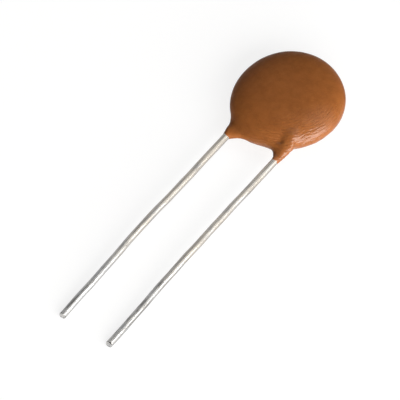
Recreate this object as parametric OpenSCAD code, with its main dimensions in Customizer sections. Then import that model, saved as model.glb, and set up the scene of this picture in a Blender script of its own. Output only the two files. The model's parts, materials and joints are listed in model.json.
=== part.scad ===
// Radial-lead ceramic disc capacitor: a soldered ceramic tablet dipped in resin, lying as it comes to rest.
// Millimetres. The disc lies flat with its mid-plane level, its leads run towards -Y and their cut ends
// touch the ground that the underside of the disc rests on.

/* [Coated disc] */
// Diameter over the resin
disc_d = 9.4; // [9:0.1:12]
// Thickness over the resin at the middle of the faces
disc_t = 3; // [2.6:0.1:4]
// Radius of the rounded rim
rim_r = 1; // [0.8:0.05:1.2]
// Resin between the edge of the ceramic and the rim
edge_cover = 0.7; // [0.5:0.05:0.9]

/* [Necks] */
// Length of the neck on the front lead, past the rim
front_neck_l = 1.6; // [1:0.1:2.5]
// Length of the neck on the back lead, past the rim
back_neck_l = 1.25; // [1:0.05:2.5]
// Radius of a neck where it grows out of the disc
neck_root_r = 0.85; // [0.75:0.05:1]
// Resin over the wire where a neck leaves the face of the disc
neck_cover = 0.3; // [0.2:0.05:0.35]
// Thickness of the resin at the open end of a neck
neck_lip = 0.07; // [0.04:0.01:0.15]

/* [Ceramic tablet] */
// Thickness of the ceramic
ceramic_t = 0.5; // [0.3:0.05:0.7]
// Thickness of each fired silver electrode
electrode_t = 0.03; // [0.02:0.01:0.05]
// Bare margin of ceramic around an electrode
electrode_margin = 0.3; // [0.1:0.05:0.4]

/* [Solder] */
// Solder between the wire and the electrode
solder_film = 0.05; // [0.03:0.01:0.08]
// Solder over the top of the wire
solder_cap = 0.06; // [0.04:0.01:0.1]
// Half the width of the solder on the electrode
solder_half_w = 0.85; // [0.7:0.05:1]
// Length of the full-height part of the solder
solder_l = 2.2; // [1.5:0.1:2.4]

/* [Leads] */
// Diameter of the tinned wire
lead_d = 0.6; // [0.5:0.05:0.75]
// Distance between the two leads
lead_pitch = 5; // [4:0.1:6]
// How far the leads' midline stands off the middle of the disc
lead_offset = 0.5; // [0:0.1:0.6]
// Wire past the middle of the disc at its soldered end
lead_overlap = 1.2; // [0.8:0.1:1.4]
// Slope of the leads where they leave the necks
lead_slope = 1.8; // [1:0.1:2.4]
// Distance from the middle of the disc to the slight bend in the leads
kink_reach = 16.6; // [12:0.1:20]
// Wire past the slight bend, as far as the cut end
lead_end_l = 10.4; // [6:0.1:16]

/* [Hidden] */
$fn = 96;

disc_r = disc_d / 2;
lead_r = lead_d / 2;
ceramic_r = disc_r - edge_cover;
electrode_r = ceramic_r - electrode_margin;

// Dome of each face, drawn so that it runs smoothly into the rounded rim.
rim_circle_x = disc_r - rim_r;
dome_r = (pow(rim_circle_x, 2) + pow(disc_t / 2, 2) - pow(rim_r, 2)) / (disc_t - 2 * rim_r);
dome_drop = dome_r - disc_t / 2;
dome_edge_x = rim_circle_x * dome_r / (dome_r - rim_r);

// Heights from the mid-plane of the ceramic.
solder_z = ceramic_t / 2 + electrode_t;
wire_z = solder_z + solder_film + lead_r;
solder_h = solder_film + lead_d + solder_cap;
solder_curve_r = (pow(solder_half_w, 2) + pow(solder_h, 2)) / (2 * solder_h);

// Places across the disc, measured from its middle.
front_x = lead_offset + lead_pitch / 2;
back_x = lead_offset - lead_pitch / 2;

// Places along a lead, measured from the middle of the disc towards the cut end.
jog_clearance = 0.2;
jog_tail = 0.3;
jog_bend_r = 0.9;
kink_bend_r = 12;
bend_swell = 0.004;
bend_overlap = 0.03;
neck_root_setback = 0.3;

function ceramic_edge(x) = sqrt(pow(ceramic_r, 2) - pow(x, 2));
function neck_end(x, neck_l) = sqrt(pow(disc_r, 2) - pow(x, 2)) + neck_l;
function slope_z(reach) = -(reach - disc_r) * tan(lead_slope);

// The last stretch of the leads slopes until the cut ends touch the ground.
kink_height = disc_t / 2 + slope_z(kink_reach);
end_slope = asin(kink_height / norm([lead_end_l, lead_r])) - atan(lead_r / lead_end_l);
tip_reach = kink_reach + lead_end_l * cos(end_slope);
tip_z = slope_z(kink_reach) - lead_end_l * sin(end_slope);
lead_reach = tip_reach + lead_r * sin(end_slope);

// The whole part is centred on its length and stands on the ground plane.
disc_y = (lead_reach - disc_r) / 2;

// Corners of a wire as [distance along the lead, height], and how far round each one it is bent.
function wire_path(x, side, neck_l) = [
  [-lead_overlap, side * wire_z],
  [ceramic_edge(x) + jog_clearance, side * wire_z],
  [neck_end(x, neck_l) - jog_tail, slope_z(neck_end(x, neck_l) - jog_tail)],
  [kink_reach, slope_z(kink_reach)],
  [tip_reach, tip_z]
];
wire_bends = [0, jog_bend_r, jog_bend_r, kink_bend_r, 0];

function heading(path, i) = atan2(path[i + 1][1] - path[i][1], path[i + 1][0] - path[i][0]);
function turn(path, i) = i < 1 || i > len(path) - 2 ? 0 : heading(path, i) - heading(path, i - 1);
function setback(path, i) = wire_bends[i] * tan(abs(turn(path, i)) / 2);

// Lays a shape drawn along X, with Y up, over the lead at x.
module along_lead(x) {
  translate([x, disc_y, disc_t / 2])
    rotate([90, 0, -90])
      children();
}

module at_disc() {
  translate([0, disc_y, disc_t / 2])
    children();
}

// An arc of wire, a touch swollen by the bending, with children() carried on from its far end.
module bend(angle, radius) {
  side = sign(angle);
  first = side > 0 ? -90 : 90 + angle;
  translate([0, side * radius, 0]) {
    rotate([0, 0, first])
      rotate_extrude(angle = abs(angle))
        translate([radius, 0])
          circle(r = lead_r + bend_swell);
    rotate([0, 0, angle])
      translate([0, -side * radius, 0])
        children();
  }
}

// Straight stretches and bends, one after another, from corner i on.
module wire_from(path, i) {
  run = norm(path[i + 1] - path[i]) - setback(path, i) - setback(path, i + 1);
  before = i > 0 ? bend_overlap : 0;
  after = i < len(path) - 2 ? bend_overlap : 0;
  translate([-before, 0, 0])
    rotate([0, 90, 0])
      cylinder(d = lead_d, h = before + run + after);
  if (i < len(path) - 2)
    translate([run, 0, 0])
      bend(turn(path, i + 1), wire_bends[i + 1])
        wire_from(path, i + 1);
}

module lead(x, side, neck_l) {
  path = wire_path(x, side, neck_l);
  along_lead(x)
    translate([path[0][0], path[0][1], 0])
      wire_from(path, 0);
}

// Rounded bank of solder, kept to the silver it wets.
module solder_bank(x, side) {
  at_disc()
    rotate([0, side > 0 ? 0 : 180, 0])
      translate([0, 0, solder_z])
        intersection() {
          cylinder(r = electrode_r, h = solder_h + solder_cap);
          translate([side * x, -solder_l / 2, solder_h - solder_curve_r]) {
            rotate([-90, 0, 0])
              cylinder(r = solder_curve_r, h = solder_l);
            sphere(r = solder_curve_r);
            translate([0, solder_l, 0])
              sphere(r = solder_curve_r);
          }
        }
}

module electrode(side) {
  at_disc()
    translate([0, 0, side > 0 ? ceramic_t / 2 : -solder_z])
      cylinder(r = electrode_r, h = electrode_t);
}

module ceramic() {
  at_disc()
    translate([0, 0, -ceramic_t / 2])
      cylinder(r = ceramic_r, h = ceramic_t);
}

// Half of the disc's section: a dome above and below, and the rounded rim.
module disc_section() {
  intersection() {
    translate([0, -dome_drop])
      circle(r = dome_r);
    translate([0, dome_drop])
      circle(r = dome_r);
    translate([0, -disc_t])
      square([dome_edge_x, 2 * disc_t]);
  }
  translate([rim_circle_x, 0])
    circle(r = rim_r);
}

// Resin drawn down one lead: a ball-rooted cone that ends in a thin lip.
module neck(x, side, neck_l) {
  root = [ceramic_edge(x) - neck_root_setback, side * (wire_z + lead_r + neck_cover - neck_root_r)];
  end = [neck_end(x, neck_l), slope_z(neck_end(x, neck_l))];
  length = norm(end - root);
  along_lead(x)
    translate([root[0], root[1], 0])
      rotate([0, 0, atan2(end[1] - root[1], end[0] - root[0])])
        rotate([0, 90, 0])
          union() {
            cylinder(r1 = neck_root_r, r2 = lead_r + neck_lip, h = length);
            sphere(r = neck_root_r);
          }
}

module coating() {
  color("sienna")
    difference() {
      union() {
        at_disc()
          rotate_extrude()
            disc_section();
        neck(front_x, 1, front_neck_l);
        neck(back_x, -1, back_neck_l);
      }
      ceramic();
      electrode(1);
      electrode(-1);
      solder_bank(front_x, 1);
      solder_bank(back_x, -1);
      lead(front_x, 1, front_neck_l);
      lead(back_x, -1, back_neck_l);
    }
}

module ceramic_disc() {
  color("wheat")
    ceramic();
}

module front_electrode() {
  color("silver")
    electrode(1);
}

module back_electrode() {
  color("silver")
    electrode(-1);
}

module front_solder() {
  color("lightgray")
    difference() {
      solder_bank(front_x, 1);
      lead(front_x, 1, front_neck_l);
    }
}

module back_solder() {
  color("lightgray")
    difference() {
      solder_bank(back_x, -1);
      lead(back_x, -1, back_neck_l);
    }
}

module front_lead() {
  color("gainsboro")
    lead(front_x, 1, front_neck_l);
}

module back_lead() {
  color("gainsboro")
    lead(back_x, -1, back_neck_l);
}

coating();
ceramic_disc();
front_electrode();
back_electrode();
front_solder();
back_solder();
front_lead();
back_lead();
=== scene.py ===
import json
import math

import bpy
import numpy as np
from mathutils import Matrix, Vector


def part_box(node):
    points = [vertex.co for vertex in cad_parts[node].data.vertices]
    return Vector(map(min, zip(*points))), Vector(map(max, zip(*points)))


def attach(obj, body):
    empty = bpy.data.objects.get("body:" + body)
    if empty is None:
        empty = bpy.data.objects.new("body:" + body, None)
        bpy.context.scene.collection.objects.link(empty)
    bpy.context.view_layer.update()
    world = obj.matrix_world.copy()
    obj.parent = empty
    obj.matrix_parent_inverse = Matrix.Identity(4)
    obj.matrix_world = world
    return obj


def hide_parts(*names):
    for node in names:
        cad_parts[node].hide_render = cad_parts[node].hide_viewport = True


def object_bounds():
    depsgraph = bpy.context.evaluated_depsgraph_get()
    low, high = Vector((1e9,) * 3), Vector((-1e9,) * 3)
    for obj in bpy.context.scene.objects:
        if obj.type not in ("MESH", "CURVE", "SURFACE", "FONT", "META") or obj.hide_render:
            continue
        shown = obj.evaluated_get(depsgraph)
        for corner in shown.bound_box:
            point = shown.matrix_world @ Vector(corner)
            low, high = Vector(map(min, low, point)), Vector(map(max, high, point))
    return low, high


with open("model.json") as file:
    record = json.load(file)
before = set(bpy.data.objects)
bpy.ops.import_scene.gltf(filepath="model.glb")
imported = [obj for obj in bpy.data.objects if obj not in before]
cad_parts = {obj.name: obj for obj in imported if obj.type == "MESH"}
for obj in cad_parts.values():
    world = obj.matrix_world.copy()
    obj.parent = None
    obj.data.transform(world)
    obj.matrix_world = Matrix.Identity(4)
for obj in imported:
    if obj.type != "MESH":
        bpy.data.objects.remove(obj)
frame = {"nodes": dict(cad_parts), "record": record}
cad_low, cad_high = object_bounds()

# ---------------------------------------------------------------------------------------------
# Ceramic tablet. The dielectric: a thin round of fired barium titanate, buff and slightly porous,
# held only by the solder, the wires and the resin round it.
# ---------------------------------------------------------------------------------------------
# The part is worked out in millimetres, and MM turns them into the scene's metres.
MM = 0.001
BUFF = ((0.70, 0.56, 0.36), (0.80, 0.70, 0.52))
BUFF_GRAIN = (0.60, 0.47, 0.31)


class Value:
    """A shader socket that takes part in Python arithmetic. Each operator adds one Math node."""

    def __init__(self, graph, socket):
        self.graph = graph
        self.socket = socket

    def _maths(self, operation, first, second):
        return self.graph.node("ShaderNodeMath", {"operation": operation}, {0: first, 1: second})

    def __add__(self, other):
        return self._maths("ADD", self, other)

    def __radd__(self, other):
        return self._maths("ADD", other, self)

    def __sub__(self, other):
        return self._maths("SUBTRACT", self, other)

    def __rsub__(self, other):
        return self._maths("SUBTRACT", other, self)

    def __mul__(self, other):
        return self._maths("MULTIPLY", self, other)

    def __rmul__(self, other):
        return self._maths("MULTIPLY", other, self)

    def __truediv__(self, other):
        return self._maths("DIVIDE", self, other)

    def __rtruediv__(self, other):
        return self._maths("DIVIDE", other, self)

    def __pow__(self, other):
        return self._maths("POWER", self, other)

    def __rpow__(self, other):
        return self._maths("POWER", other, self)


class Graph:
    """One material's node tree, with a Principled shader on its output."""

    def __init__(self, name):
        self.material = bpy.data.materials.new(name)
        self.material.use_nodes = True
        self.tree = self.material.node_tree
        self.tree.nodes.clear()
        output = self.tree.nodes.new("ShaderNodeOutputMaterial")
        self.shader = self.tree.nodes.new("ShaderNodeBsdfPrincipled")
        self.tree.links.new(self.shader.outputs["BSDF"], output.inputs["Surface"])

    def feed(self, socket, value):
        """A link for a Value, and a setting for a plain number or colour."""
        if isinstance(value, Value):
            self.tree.links.new(value.socket, socket)
        else:
            socket.default_value = value

    def node(self, kind, settings, inputs, output=0):
        """A node of that kind. stops in the settings are a ramp's (position, colour) pairs."""
        made = self.tree.nodes.new(kind)
        for key, value in settings.items():
            if key == "stops":
                ramp = made.color_ramp
                while len(ramp.elements) < len(value):
                    ramp.elements.new(0.5)
                for element, (position, colour) in zip(ramp.elements, value):
                    element.position = position
                    element.color = colour
            else:
                setattr(made, key, value)
        for key, value in inputs.items():
            self.feed(made.inputs[key], value)
        return Value(self, made.outputs[output])

    def place(self, stretch=(1, 1, 1)):
        """Object coordinates in millimetres, with a texture drawn out by the stretch on each axis."""
        coords = self.node("ShaderNodeTexCoord", {}, {}, "Object")
        scale = tuple(1 / (MM * s) for s in stretch)
        return self.node("ShaderNodeMapping", {}, {"Vector": coords, "Scale": scale})

    def along(self, where, axis):
        """One of the three coordinates, by its letter."""
        return self.node("ShaderNodeSeparateXYZ", {}, {"Vector": where}, axis)

    def noise(self, where, scale, detail=3.0, roughness=0.5, distortion=0.0):
        """Cloudy noise from 0 to 1, with about scale blots to the millimetre."""
        inputs = {"Vector": where, "Scale": scale, "Detail": detail, "Roughness": roughness}
        inputs["Distortion"] = distortion
        return self.node("ShaderNodeTexNoise", {}, inputs)

    def ramp(self, factor, *stops):
        """factor turned into a grey between the stops."""
        greys = [(position, (grey, grey, grey, 1)) for position, grey in stops]
        return self.node("ShaderNodeValToRGB", {"stops": greys}, {"Fac": factor})

    def mix(self, factor, first, second):
        """The first colour where factor is 0, running into the second where it is 1."""
        first = first if isinstance(first, Value) else (*first, 1)
        second = second if isinstance(second, Value) else (*second, 1)
        inputs = {0: factor, 6: first, 7: second}
        return self.node("ShaderNodeMix", {"data_type": "RGBA"}, inputs, 2)

    def bump(self, height, strength, distance):
        """A normal from a height, where a height of 1 stands distance millimetres proud."""
        inputs = {"Height": height, "Strength": strength, "Distance": distance * MM}
        return self.node("ShaderNodeBump", {}, inputs, "Normal")

    def finish(self, colour, roughness, normal, **others):
        """The material, with each other socket of the shader given by its name."""
        self.feed(self.shader.inputs["Base Color"], colour)
        self.feed(self.shader.inputs["Roughness"], roughness)
        self.feed(self.shader.inputs["Normal"], normal)
        for key, value in others.items():
            self.feed(self.shader.inputs[key.replace("_", " ")], value)
        return self.material


def dress(piece, material):
    """The material in the piece's only slot."""
    piece.data.materials.clear()
    piece.data.materials.append(material)


def fired_ceramic():
    """Buff clouds with a finer grain, pitted where the grain is open."""
    graph = Graph("fired_ceramic")
    where = graph.place()
    cloud = graph.noise(where, scale=0.35)
    grain = graph.noise(where, scale=9.0, detail=4.0, roughness=0.65)
    pits = graph.ramp(graph.noise(where, scale=22.0, detail=2.0), (0.3, 0.0), (0.42, 1.0))
    return graph.finish(
        graph.mix(grain * 0.25, graph.mix(cloud, *BUFF), BUFF_GRAIN),
        0.62 + 0.25 * grain,
        graph.bump(pits * 0.6 + grain * 0.4, strength=0.5, distance=0.01),
        Specular_IOR_Level=0.4,
    )


dress(frame["nodes"]["ceramic_disc"], fired_ceramic())
ceramic_low, ceramic_high = (np.array(corner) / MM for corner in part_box("ceramic_disc"))
disc_middle = (ceramic_low + ceramic_high) / 2

# ---------------------------------------------------------------------------------------------
# Electrodes. Silver paste screened on both faces of the tablet and fired: a dull, grainy white
# metal that the solder wets.
# ---------------------------------------------------------------------------------------------
SILVER = ((0.78, 0.76, 0.70), (0.90, 0.89, 0.85))
SILVER_GRAIN = (0.62, 0.60, 0.55)


def fired_silver():
    """White metal in clouds with a fine grain, and faint marks of the screen's mesh."""
    graph = Graph("fired_silver")
    where = graph.place()
    cloud = graph.noise(where, scale=0.6)
    grain = graph.noise(where, scale=14.0, detail=4.0, roughness=0.7)
    mesh_marks = graph.noise(graph.place((4, 0.35, 1)), scale=3.0, detail=2.0)
    return graph.finish(
        graph.mix(grain * 0.3, graph.mix(cloud, *SILVER), SILVER_GRAIN),
        0.42 + 0.3 * grain,
        graph.bump(grain * 0.7 + mesh_marks * 0.3, strength=0.4, distance=0.006),
        Metallic=0.9,
    )


silver = fired_silver()
dress(frame["nodes"]["front_electrode"], silver)
dress(frame["nodes"]["back_electrode"], silver)

# ---------------------------------------------------------------------------------------------
# Leads. Round steel wire clad in copper and tinned: bright, with fine drawing lines along it and
# greyer blotches where the tin ran thin. Each is soldered flat to one face, jogs back to the
# middle of the body inside its neck, and is sheared off at the other end.
# ---------------------------------------------------------------------------------------------
LEADS = {"front_lead": 1, "back_lead": -1}
MOUNTS = {mount["name"]: mount for mount in frame["record"]["mounts"]}
WIRE_R = MOUNTS["front_lead_pin"]["dims"]["r_mm"]
DISC_R = round(cad_high[0] / MM, 3)
SEAT_H = 0.63
NECK_L = {"front_lead": 1.6, "back_lead": 1.25}
JOG_START = 0.2
JOG_TAIL = 0.3
NECK_SLOPE = math.radians(1.8)
END_L = 10.4
LINE_STEP = 0.02
ROUND_STEPS = 20
LEAN = {"front_lead": 0.02, "back_lead": 0.15}
SWAY = 0.018
QUIVER = 0.010
SWAY_START = 6.5
SWAY_FADE = 6
STRAIGHTEN = 0.5
STRAIGHTEN_START = 10
STRAIGHTEN_L = 5
DENT = 0.004
SHEAR = 0.07
SHEAR_TURN = 1.9
SHEAR_BURR = 0.015
WIRE_RINGS = 620
WIRE_SIDES = 48
# The rings that close each end: share of the wire's radius, and distance in from the end.
SOLDERED_END = ((0.5, -0.004), (0.9, 0.0), (0.97, 0.01))
SHEARED_END = ((0.99, 0.035), (0.955, 0.008), (0.88, 0.0), (0.5, -0.006))
SHEARED_SHOULDER = 0.09
TIN_INNER = (0.66, 0.61, 0.54)
TIN_OUTER = (0.67, 0.66, 0.64)
THIN_TIN = (0.50, 0.52, 0.56)
SCORE = (0.24, 0.23, 0.22)
SPECK = (0.34, 0.34, 0.35)


def squeeze(value):
    """0 to 1, with level ends: 3 t squared minus 2 t cubed."""
    t = np.clip(value, 0, 1)
    return t * t * (3 - 2 * t)


def closed_grid(name, rings, first_pole, last_pole):
    """A closed mesh from rings of points (rows, columns, 3) in millimetres, with one pole point at
    each end. Columns wrap round. Faces look outward where a ring turns anticlockwise as seen from
    beyond the first pole."""
    rows, columns = rings.shape[:2]
    points = np.concatenate([rings.reshape(-1, 3), [first_pole], [last_pole]]) * MM
    index = np.arange(rows * columns).reshape(rows, columns)
    across = np.roll(index, -1, axis=1)
    quads = np.stack([index[:-1], index[1:], across[1:], across[:-1]], axis=-1).reshape(-1, 4)
    start = np.stack([index[0], across[0], np.full(columns, rows * columns)], axis=-1)
    end = np.stack([across[-1], index[-1], np.full(columns, rows * columns + 1)], axis=-1)
    corners = np.concatenate([quads.ravel(), start.ravel(), end.ravel()])
    sizes = np.concatenate([np.full(len(quads), 4), np.full(2 * columns, 3)])
    starts = np.concatenate([[0], np.cumsum(sizes)[:-1]])
    mesh = bpy.data.meshes.new(name)
    mesh.vertices.add(len(points))
    mesh.vertices.foreach_set("co", points.astype(np.float32).ravel())
    mesh.loops.add(len(corners))
    mesh.loops.foreach_set("vertex_index", corners.astype(np.int32))
    mesh.polygons.add(len(sizes))
    mesh.polygons.foreach_set("loop_start", starts.astype(np.int32))
    mesh.polygons.foreach_set("use_smooth", np.ones(len(sizes), bool))
    mesh.update()
    mesh.validate()
    piece = bpy.data.objects.new(name, mesh)
    bpy.context.scene.collection.objects.link(piece)
    return piece


def way_along(line):
    """Distance along the line to each of its points: the running sum of its steps' lengths."""
    steps = np.linalg.norm(np.diff(line, axis=0), axis=1)
    return np.concatenate([[0], np.cumsum(steps)])


def wire_line(name, side):
    """The wire's place across the leads, and its centre line as (reach, height) from the middle of
    the disc: straight stretches between the soldered end, the two corners of the jog, the slight
    bend and the cut end, rounded by averaging over a short window."""
    soldered_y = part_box(name)[1][1] / MM
    mount = MOUNTS[name + "_pin"]
    point = np.array(mount["pos_m"]) / MM
    axis = np.array(mount["axis"])
    x = point[0] - disc_middle[0]
    bend = point - axis * (END_L - mount["dims"]["length_mm"] / 2)
    tip = bend + axis * END_L
    bend_reach = disc_middle[1] - bend[1]
    bend_z = bend[2] - disc_middle[2]
    tablet_r = ceramic_high[0] - disc_middle[0]
    jog_in = math.sqrt(tablet_r**2 - x**2) + JOG_START
    jog_out = math.sqrt(DISC_R**2 - x**2) + NECK_L[name] - JOG_TAIL
    corners = np.array(
        [
            [disc_middle[1] - soldered_y, side * SEAT_H],
            [jog_in, side * SEAT_H],
            [jog_out, bend_z + (bend_reach - jog_out) * math.tan(NECK_SLOPE)],
            [bend_reach, bend_z],
            [disc_middle[1] - tip[1], tip[2] - disc_middle[2]],
        ]
    )
    run = way_along(corners)
    fine = np.arange(0, run[-1], LINE_STEP)
    line = np.stack([np.interp(fine, run, corners[:, i]) for i in (0, 1)], axis=1)
    window = np.hanning(2 * ROUND_STEPS + 1)
    window /= window.sum()
    before = line[0] + (line[1] - line[0]) * np.arange(-ROUND_STEPS, 0)[:, None]
    after = line[-1] + (line[-1] - line[-2]) * np.arange(1, ROUND_STEPS + 1)[:, None]
    padded = np.concatenate([before, line, after])
    rounded = np.stack([np.convolve(padded[:, i], window, "valid") for i in (0, 1)], axis=1)
    return x + LEAN[name], rounded


def wire_surface(x, line, name, side):
    """Rings round the centre line, and the line's two ends as poles. Past the neck the line sways by
    two sines of the way along it, and further out it gives back part of its lean. The radius is
    dented by a sine of the way along plus twice the turn, times a slower sine of the way along. The
    cut end is tilted by a cosine of the turn, with a burr of three waves, as shears leave it."""
    run = way_along(line)
    at = np.linspace(0, run[-1], WIRE_RINGS)
    reach, height = (np.interp(at, run, line[:, i]) for i in (0, 1))
    free = np.clip((at - SWAY_START) / SWAY_FADE, 0, 1)
    sway = free * (SWAY * np.sin(at * 0.71 + 2.2 * side) + QUIVER * np.sin(at * 1.9 + side))
    sway -= STRAIGHTEN * LEAN[name] * squeeze((reach - STRAIGHTEN_START) / STRAIGHTEN_L)
    centre = np.stack([x + sway, -reach, height], axis=1)
    tangent = np.gradient(centre, at, axis=0)
    tangent /= np.linalg.norm(tangent, axis=1)[:, None]
    upward = np.cross(np.broadcast_to([1.0, 0.0, 0.0], tangent.shape), tangent)
    upward /= np.linalg.norm(upward, axis=1)[:, None]
    sideways = np.cross(tangent, upward)
    turn = np.arange(WIRE_SIDES) * 2 * math.pi / WIRE_SIDES
    spokes = sideways[:, None] * np.cos(turn)[None, :, None]
    spokes = spokes + upward[:, None] * np.sin(turn)[None, :, None]
    dent = DENT * np.sin(at[:, None] * 2.3 + 2 * turn) * np.sin(at[:, None] * 0.9 + side)
    rings = centre[:, None] + (WIRE_R + dent)[:, :, None] * spokes
    shear = SHEAR * np.cos(turn - SHEAR_TURN) + SHEAR_BURR * np.sin(3 * turn)
    rings[-1] += tangent[-1] * (shear - SHEARED_SHOULDER)[:, None]
    first = [
        centre[0] + share * WIRE_R * spokes[0] + tangent[0] * inward
        for share, inward in SOLDERED_END
    ]
    last = [
        centre[-1] + share * WIRE_R * spokes[-1] + tangent[-1] * (share * shear - inward)[:, None]
        for share, inward in SHEARED_END
    ]
    return np.concatenate([first, rings, last]), centre[0], centre[-1]


def tinned_wire():
    """Tin that runs from cream by the body to silver at the cut end, greyer where it is thin, with
    dark specks and long dark scores, and fine drawing lines along the wire."""
    graph = Graph("tinned_wire")
    where = graph.place()
    lines = graph.noise(graph.place((1, 14, 1)), scale=16.0, detail=3.0, roughness=0.6)
    blotch = graph.noise(
        graph.place((1, 2.5, 1)), scale=1.1, detail=4.0, roughness=0.6, distortion=0.6
    )
    thin_tin = graph.ramp(blotch, (0.46, 0.0), (0.66, 1.0))
    specks = graph.noise(graph.place((1, 1.6, 1)), scale=7.0, detail=2.0)
    specks = graph.ramp(specks, (0.62, 0.0), (0.74, 1.0))
    scored = graph.noise(graph.place((1, 16, 1)), scale=6.0, detail=3.0, roughness=0.6)
    scored = graph.ramp(scored, (0.50, 0.0), (0.62, 1.0))
    outer = graph.ramp(graph.along(where, "Y") / -16.0 - 0.1, (0.2, 0.0), (0.55, 1.0))
    colour = graph.mix(thin_tin * 0.5, graph.mix(outer, TIN_INNER, TIN_OUTER), THIN_TIN)
    colour = graph.mix(scored * (0.38 + 0.4 * outer), colour, SCORE)
    return graph.finish(
        graph.mix(specks * 0.4, colour, SPECK),
        0.20 + 0.10 * thin_tin + 0.08 * lines,
        graph.bump(lines * 0.7 + thin_tin * 0.3, strength=0.35, distance=0.006),
        Metallic=1.0,
        Specular_Tint=(0.3, 0.3, 0.3, 1.0),
    )


wire_finish = tinned_wire()
wire_lines = {}
for name, side in LEADS.items():
    wire_lines[name] = wire_line(name, side)
    rings, soldered, cut = wire_surface(*wire_lines[name], name, side)
    piece = closed_grid(
        "wire_" + name, rings + disc_middle, soldered + disc_middle, cut + disc_middle
    )
    dress(piece, wire_finish)
    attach(piece, "root")
    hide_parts(name)

# ---------------------------------------------------------------------------------------------
# Solder. A rounded bank on each face that holds the wire to the silver; smooth, grey and a
# little frosted where it froze.
# ---------------------------------------------------------------------------------------------
SOLDER = ((0.62, 0.63, 0.64), (0.80, 0.80, 0.79))


def frozen_solder():
    """Grey metal in slow streaks along the wire, rougher where it is frosted."""
    graph = Graph("frozen_solder")
    frost = graph.noise(graph.place(), scale=5.0, detail=4.0, roughness=0.6)
    streak = graph.noise(graph.place((1, 3, 1)), scale=1.3, detail=2.0)
    return graph.finish(
        graph.mix(streak, *SOLDER),
        0.22 + 0.3 * frost,
        graph.bump(frost, strength=0.35, distance=0.01),
        Metallic=1.0,
    )


solder = frozen_solder()
dress(frame["nodes"]["front_solder"], solder)
dress(frame["nodes"]["back_solder"], solder)

# ---------------------------------------------------------------------------------------------
# Coating. One skin of orange-brown resin that the soldered core was dipped into and baked: a
# domed disc, slightly out of round, drawn down each wire as it drained into a short neck whose
# open end is a thin uneven lip. It is one piece with no seam.
# ---------------------------------------------------------------------------------------------
DISC_T = cad_high[2] / MM
FULLNESS = 2.8
LEAST_LENS_SLOPE = 0.3
SWELL = 1.025
# The outline's waves: how many there are round the disc, their height, and their phase.
OUT_OF_ROUND = ((1, 0.019, 0.98), (2, 0.010, 2.09), (3, 0.011, -0.34))
SLOW_SWELL = 0.006
DRAIN_H = 0.010
# Where the resin drained last, as a direction in the plane of the disc.
DRAINED = (0.8, -0.6)
DRAIN_START = 0.17
DRAIN_FADE = 0.16
LIP = 0.02
LIP_ROUND = 0.05
LIP_WAVE = 0.05
LIP_RIPPLE = 0.02
LUMP_H = 0.010
LUMP_L = 1.5
WALL_EASE = 0.95
RUN_ON = {"front_lead": 0.27, "back_lead": 0.2}
THICKEN = 0.045
THICKEN_L = 1.6
SINK = 0.9
SINK_START = 1.9
SINK_L = 1.8
NECK_BACK = 4.0
WEB_MOST = 1.1
WEB_FADE = 0.8
# The webs on each neck's left and right: slope, flare, and how far behind the open end each
# begins to fade.
SPREAD = {
    "front_lead": ((0.05, 0.80, 0.8), (0.20, 0.0, 1.6)),
    "back_lead": ((0.27, 0.0, 1.5), (1.35, 0.0, 0.8)),
}
BLEND = 0.5
FACE_BLEND = 0.45
FACE_BLEND_L = 1.2
ROOT_REACH = {"front_lead": 3.9, "back_lead": 4.4}


def melt(first, second, width):
    """The smaller of two distances, rounded over where they are within width of each other."""
    share = np.clip(1 - np.abs(first - second) / width, 0, 1)
    return np.minimum(first, second) - share * share * width / 4


def neck_end(name):
    """Reach of the neck's open end from the middle of the disc."""
    x = wire_lines[name][0]
    return math.sqrt(DISC_R**2 - x**2) + NECK_L[name] + RUN_ON[name]


def lens_distance(p):
    """Distance from the disc: the level (z / half thickness) squared + (r / radius) ** FULLNESS - 1,
    divided by its slope, with an outline slightly out of round."""
    turn = np.arctan2(p[..., 1], p[..., 0])
    swell = SWELL
    for waves, height, phase in OUT_OF_ROUND:
        swell = swell + height * np.cos(waves * turn + phase)
    out = np.hypot(p[..., 0], p[..., 1]) / (swell * DISC_R)
    up = p[..., 2] / (DISC_T / 2)
    level = up * up + out**FULLNESS - 1
    slope = np.hypot(2 * up / (DISC_T / 2), FULLNESS * out ** (FULLNESS - 1) / DISC_R)
    return level / np.maximum(slope, LEAST_LENS_SLOPE)


def neck_distance(p, name):
    """Distance from the resin round one wire: a tube that follows the wire's centre line, feather
    thin at its open end, which is cut to a slow wave and a small ripple. Behind the end it thickens
    with low lumps, each side widens by its own slope and flare into a web, and at its root it sinks
    into the disc."""
    x, line = wire_lines[name]
    end = neck_end(name)
    reach = -p[..., 1]
    a = p[..., 0] - x
    b = p[..., 2] - np.interp(reach, line[:, 0], line[:, 1])
    around = np.arctan2(b, a)
    behind = np.clip(end - reach, 0, THICKEN_L)
    plain = WIRE_R + LIP + THICKEN * behind
    lumps = LUMP_H * np.sin(3 * around + 5 * reach) * np.clip(LUMP_L - behind, 0, 1)
    thick = plain - SINK * squeeze((end - SINK_START - reach) / SINK_L) + lumps
    left, right = (
        np.minimum(slope * behind + flare * behind**2, WEB_MOST)
        * (1 - squeeze((end - reach - fading) / WEB_FADE))
        for slope, flare, fading in SPREAD[name]
    )
    web = np.where(a > 0, right, left)
    wide = 1 + np.maximum(web - THICKEN * behind, 0) / plain
    tube = np.hypot(a / wide, b) - thick
    wave = LIP_WAVE * np.sin(around + 0.6) + LIP_RIPPLE * np.sin(3 * around + x)
    cut = reach - end - wave
    return np.maximum(-melt(-tube * WALL_EASE, -cut, LIP_ROUND), end - NECK_BACK - reach)


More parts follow.
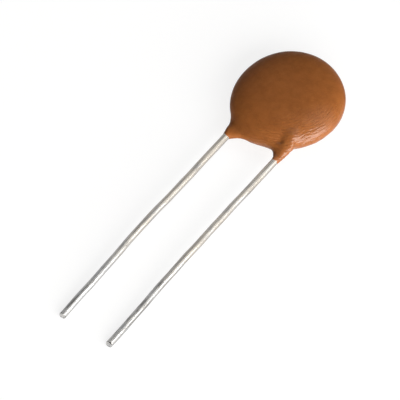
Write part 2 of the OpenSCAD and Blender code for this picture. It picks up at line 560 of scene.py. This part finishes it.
def drained(p):
    """Height of the fine ripples left round the rim where the resin drained last: two sine waves of
    the way across the rim, each bent and weakened by waves of the turn, fading in to that side."""
    turn = np.arctan2(p[..., 1], p[..., 0])
    across = np.hypot(p[..., 0], p[..., 1]) - 0.8 * p[..., 2]
    coarse = np.sin(20 * across + 2.2 * np.sin(9 * turn) + 1.3 * np.sin(23 * turn + 1))
    fine = np.sin(32 * across + 2.5 * np.sin(14 * turn + 2))
    coarse = coarse * (0.6 + 0.4 * np.sin(41 * turn + 7 * across))
    fine = fine * (0.6 + 0.4 * np.sin(57 * turn - 9 * across))
    that_way = (DRAINED[0] * p[..., 0] + DRAINED[1] * p[..., 1]) / (2 * DISC_R)
    return squeeze((that_way - DRAIN_START) / DRAIN_FADE) * (coarse + 0.6 * fine)


def skin_distance(p):
    """Distance from the whole skin: disc and necks run together, more softly over the faces, with a
    slow swell and the drained ripples on it."""
    body = lens_distance(p)
    for name in LEADS:
        over_face = squeeze((ROOT_REACH[name] + p[..., 1]) / FACE_BLEND_L)
        body = melt(body, neck_distance(p, name), BLEND + FACE_BLEND * over_face)
    ripple = np.sin(1.7 * p[..., 0] + 0.8 * p[..., 1] + 1.0) * np.sin(1.3 * p[..., 1] - 0.6)
    return body - SLOW_SWELL * ripple - DRAIN_H * drained(p)


STRIDE = 0.25
LEAST_SLOPE = 0.25
EVEN_ROUNDS = 12
EVEN_STAY = 0.4


def settle(p, steps):
    """Points moved onto the skin. Each step is the distance over the squared slope, times the slope,
    and no longer than STRIDE."""
    tiny = 0.002
    for _ in range(steps):
        level = skin_distance(p)
        slope = np.stack(
            [skin_distance(p + tiny * axis) - level for axis in np.eye(3)], axis=-1
        )
        slope /= tiny
        steep = np.maximum((slope**2).sum(-1), LEAST_SLOPE)
        move = -slope * (level / steep)[..., None]
        length = np.linalg.norm(move, axis=-1, keepdims=True)
        p = p + move * np.minimum(1, STRIDE / np.maximum(length, 1e-9))
    return p


COLUMNS = 420
FACE_ROWS = 56
RIM_ROWS = 110
RIM_R = 1.0
CROWD = 5.5
CROWD_W = 0.035


def neck_turn(name):
    """Where round the disc, from 0 to 1, that neck leaves the rim."""
    x = wire_lines[name][0]
    return (math.atan2(-math.sqrt(DISC_R**2 - x**2), x) / (2 * math.pi)) % 1


def column_density(t):
    """How close the grid's columns stand at t round the disc: closer by a bell at each neck."""
    near = [np.exp(-(((t - neck_turn(name)) / CROWD_W) ** 2)) for name in LEADS]
    return 1 + CROWD * near[0] + CROWD * near[1]


def spread(count, density):
    """count positions from 0 to 1, closest where density (a function of position) is high: equal
    steps of the density's running total."""
    fine = np.linspace(0, 1, 4001)
    total = np.concatenate([[0], np.cumsum((density(fine[:-1]) + density(fine[1:])) / 2)])
    return np.interp(np.arange(count) / count * total[-1], total, fine)


def lens_grid():
    """Rings from the top pole to the bottom one, down a section of two shallow arcs joined by the
    round of the rim."""
    dome_r = ((DISC_R - RIM_R) ** 2 + (DISC_T / 2) ** 2 - RIM_R**2) / (DISC_T - 2 * RIM_R)
    dome_drop = dome_r - DISC_T / 2
    tilt = math.atan2(DISC_R - RIM_R, dome_drop)
    face = tilt * (np.arange(1, FACE_ROWS) / FACE_ROWS)
    rim = tilt + (math.pi - 2 * tilt) * np.linspace(0, 1, RIM_ROWS)
    out = np.concatenate(
        [
            dome_r * np.sin(face),
            DISC_R - RIM_R + RIM_R * np.sin(rim),
            dome_r * np.sin(face[::-1]),
        ]
    )
    up = np.concatenate(
        [
            dome_r * np.cos(face) - dome_drop,
            RIM_R * np.cos(rim),
            dome_drop - dome_r * np.cos(face[::-1]),
        ]
    )
    turn = 2 * math.pi * spread(COLUMNS, column_density)
    across = (out[:, None] * np.cos(turn), out[:, None] * np.sin(turn), up[:, None] + 0 * turn)
    return np.stack(across, axis=-1)


DRAWN_R = 0.85
DRAWN_FROM = 1.5
DRAWN_BACK = 1.2
WALL_SHARE = 0.72


def draw_out(skin, name):
    """The grid near one wire drawn out along it, so that the neck gets its share of the points: a
    round patch of the rim becomes the neck's wall, and its middle the lid on the open end."""
    x, line = wire_lines[name]
    end = neck_end(name)
    root_z, end_z = (np.interp(at, line[:, 0], line[:, 1]) for at in (end - DRAWN_BACK, end))
    a = skin[..., 0] - x
    b = skin[..., 2] - root_z
    off = np.hypot(a, b)
    patch = np.clip(1 - off / DRAWN_R, 0, 1) * (skin[..., 1] < -DRAWN_FROM)
    wall = np.clip(patch / WALL_SHARE, 0, 1)
    lid = np.clip((patch - WALL_SHARE) / (1 - WALL_SHARE), 0, 1)
    new_off = (DRAWN_R + (WIRE_R + LIP - DRAWN_R) * wall) * (1 - lid)
    share = new_off / np.maximum(off, 1e-6)
    drawn = np.stack(
        [
            x + a * share,
            skin[..., 1] * (1 - wall) - end * wall,
            root_z + (end_z - root_z) * wall + b * share,
        ],
        axis=-1,
    )
    return np.where((patch > 0)[..., None], drawn, skin)


skin = lens_grid()
for name in LEADS:
    skin = draw_out(skin, name)
skin = settle(skin, steps=8)
for _ in range(EVEN_ROUNDS):
    even = skin.copy()
    sides = np.roll(skin, 1, axis=1)[1:-1] + np.roll(skin, -1, axis=1)[1:-1]
    even[1:-1] = EVEN_STAY * skin[1:-1] + (1 - EVEN_STAY) / 4 * (sides + skin[:-2] + skin[2:])
    skin = settle(even, steps=3)
poles = settle(np.array([[0, 0, DISC_T / 2], [0, 0, -DISC_T / 2]]), steps=4)
coating = closed_grid(
    "dipped_coating", skin + disc_middle, poles[0] + disc_middle, poles[1] + disc_middle
)

RESIN = ((0.245, 0.079, 0.0198), (0.297, 0.102, 0.0268))
RESIN_PATCH = (0.180, 0.055, 0.0130)
RESIN_FLECK = (0.42, 0.15, 0.04)
STREAKS_ROUND = 9.0
STREAKS_ACROSS = 6.5


def dipped_resin():
    """Orange-brown resin in slow clouds with darker patches and pale flecks. Fine streaks run round
    the disc, and the side that drained last has a clear gloss over it."""
    graph = Graph("dipped_resin")
    where = graph.place()
    cloud = graph.noise(where, scale=0.32, detail=2.0)
    mottle = graph.noise(where, scale=1.6, detail=4.0, roughness=0.6)
    fleck = graph.noise(where, scale=14.0, detail=3.0, roughness=0.6)
    patches = graph.ramp(mottle, (0.36, 0.0), (0.64, 1.0))
    flat_x = graph.along(where, "X") - float(disc_middle[0])
    flat_y = graph.along(where, "Y") - float(disc_middle[1])
    off_axis = (flat_x * flat_x + flat_y * flat_y + 0.01) ** 0.5
    ring_place = {
        "X": flat_x / off_axis * STREAKS_ROUND,
        "Y": flat_y / off_axis * STREAKS_ROUND,
        "Z": off_axis * STREAKS_ACROSS,
    }
    ring_place = graph.node("ShaderNodeCombineXYZ", {}, ring_place)
    streaks = graph.noise(ring_place, scale=1.0, detail=3.0, roughness=0.6, distortion=0.5)
    that_way = (flat_x * DRAINED[0] + flat_y * DRAINED[1]) / (2 * DISC_R) + 0.5
    last = graph.ramp(that_way, (0.70, 0.0), (0.90, 1.0))
    colour = graph.mix(patches * 0.42, graph.mix(cloud, *RESIN), RESIN_PATCH)
    relief = streaks * (0.12 + 0.6 * last) + mottle * 0.5 + fleck * 0.15
    return graph.finish(
        graph.mix(graph.ramp(fleck, (0.55, 0.0), (0.75, 0.5)), colour, RESIN_FLECK),
        0.32 + 0.14 * patches,
        graph.bump(relief, strength=1.0, distance=0.06),
        Subsurface_Weight=0.10,
        Subsurface_Radius=(0.6, 0.25, 0.1),
        Subsurface_Scale=0.0005,
        IOR=1.4,
        Specular_IOR_Level=0.06,
        Coat_Weight=last * 0.68,
        Coat_Roughness=0.25,
    )


dress(coating, dipped_resin())
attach(coating, "root")
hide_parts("coating")

# ---------------------------------------------------------------------------------------------
# Floor. A plain matt table, grey in itself and lit from within as a light table is, so that it
# looks nearly white and the part's shadow on it stays thin. Its half width is in metres.
# ---------------------------------------------------------------------------------------------
FLOOR_HALF = 1.5
FLOOR_GREY = ((0.21, 0.21, 0.21), (0.23, 0.23, 0.23))


def pale_table():
    """Even grey in very slow clouds, almost without gloss, under a strong white glow of its own."""
    graph = Graph("pale_table")
    where = graph.place()
    return graph.finish(
        graph.mix(graph.noise(where, scale=0.02), *FLOOR_GREY),
        0.85 + 0.1 * graph.noise(where, scale=0.4),
        graph.bump(graph.noise(where, scale=2.0), strength=0.05, distance=0.01),
        Specular_IOR_Level=0.1,
        Emission_Color=(1.0, 1.0, 1.0, 1.0),
        Emission_Strength=0.82,
    )


floor_mesh = bpy.data.meshes.new("floor")
floor_corners = [
    (x * FLOOR_HALF, y * FLOOR_HALF, 0) for x, y in ((-1, -1), (1, -1), (1, 1), (-1, 1))
]
floor_mesh.from_pydata(floor_corners, [], [(0, 1, 2, 3)])
floor = bpy.data.objects.new("floor", floor_mesh)
bpy.context.scene.collection.objects.link(floor)
dress(floor, pale_table())

# ---------------------------------------------------------------------------------------------
# Lights. A broad soft main light low on the front lead's side, two weak strips higher up, one on
# each side, that shine along the wires, and a dim even surround. Sizes here are in metres.
# ---------------------------------------------------------------------------------------------
LIGHT_DISTANCE = 0.5
middle = Vector(((cad_low[0] + cad_high[0]) / 2, (cad_low[1] + cad_high[1]) / 2, 0.0))


def soft_light(name, direction, along, size, power, colour):
    """A rectangular light that faces the part from that direction, its longer side along the
    other. Size is (longer side, shorter side) in metres, and power is in watts."""
    data = bpy.data.lights.new(name, "AREA")
    data.shape = "RECTANGLE"
    data.size, data.size_y = size
    data.energy = power
    data.color = colour
    light = bpy.data.objects.new(name, data)
    back = Vector(direction).normalized()
    side = (Vector(along) - back * back.dot(Vector(along))).normalized()
    turned = Matrix((side, back.cross(side), back)).transposed().to_4x4()
    turned.translation = middle + back * LIGHT_DISTANCE
    light.matrix_world = turned
    bpy.context.scene.collection.objects.link(light)


soft_light("key", (0.91, -0.33, 0.27), (0.4, 1, 0), (0.62, 0.46), 7.8, (1.0, 0.985, 0.96))
soft_light("strip", (0.58, 0.43, 0.69), (0.77, 0, -0.64), (0.9, 0.26), 0.84, (1.0, 0.99, 0.97))
soft_light("far_strip", (-0.69, 0.43, 0.58), (0.64, 0, 0.77), (0.65, 0.26), 0.32, (1.0, 1.0, 1.0))

world = bpy.data.worlds.new("studio")
world.use_nodes = True
surround = world.node_tree.nodes["Background"]
surround.inputs["Color"].default_value = (0.93, 0.96, 1.0, 1)
surround.inputs["Strength"].default_value = 0.04
bpy.context.scene.world = world
bpy.context.scene.view_settings.view_transform = "Standard"

# ---------------------------------------------------------------------------------------------
# Camera. A long lens that looks down on the part from beyond the cut ends on the front lead's side,
# rolled a little, with the body at the upper right of the view. Its distance is in metres.
# ---------------------------------------------------------------------------------------------
AZIMUTH = math.radians(47.12)
ELEVATION = math.radians(53.63)
ROLL = math.radians(-9.5)
CAMERA_DISTANCE = 1.0
SENSOR = 36.0
FIELD = 32.82
# From the middle of the disc to midway between the wires, and how far that point stands to the
# right of the middle of the view and above it.
LEAD_OFFSET = 0.5
BODY_RIGHT = 7.604
BODY_UP = 7.966
back = Vector(
    (
        math.sin(AZIMUTH) * math.cos(ELEVATION),
        -math.cos(AZIMUTH) * math.cos(ELEVATION),
        math.sin(ELEVATION),
    )
)
level = Vector((math.cos(AZIMUTH), math.sin(AZIMUTH), 0))
over = back.cross(level)
right = math.cos(ROLL) * level + math.sin(ROLL) * over
upright = -math.sin(ROLL) * level + math.cos(ROLL) * over
lead_middle = Vector((disc_middle + [LEAD_OFFSET, 0, 0]).tolist()) * MM
target = lead_middle - (right * BODY_RIGHT + upright * BODY_UP) * MM
camera_data = bpy.data.cameras.new("camera")
camera_data.sensor_width = SENSOR
camera_data.lens = SENSOR * CAMERA_DISTANCE / (FIELD * MM)
camera_data.clip_start = 0.01
camera_data.clip_end = 10
camera = bpy.data.objects.new("camera", camera_data)
bpy.context.scene.collection.objects.link(camera)
place = Matrix((right, upright, back)).transposed().to_4x4()
place.translation = target + back * CAMERA_DISTANCE
camera.matrix_world = place
bpy.context.scene.camera = camera
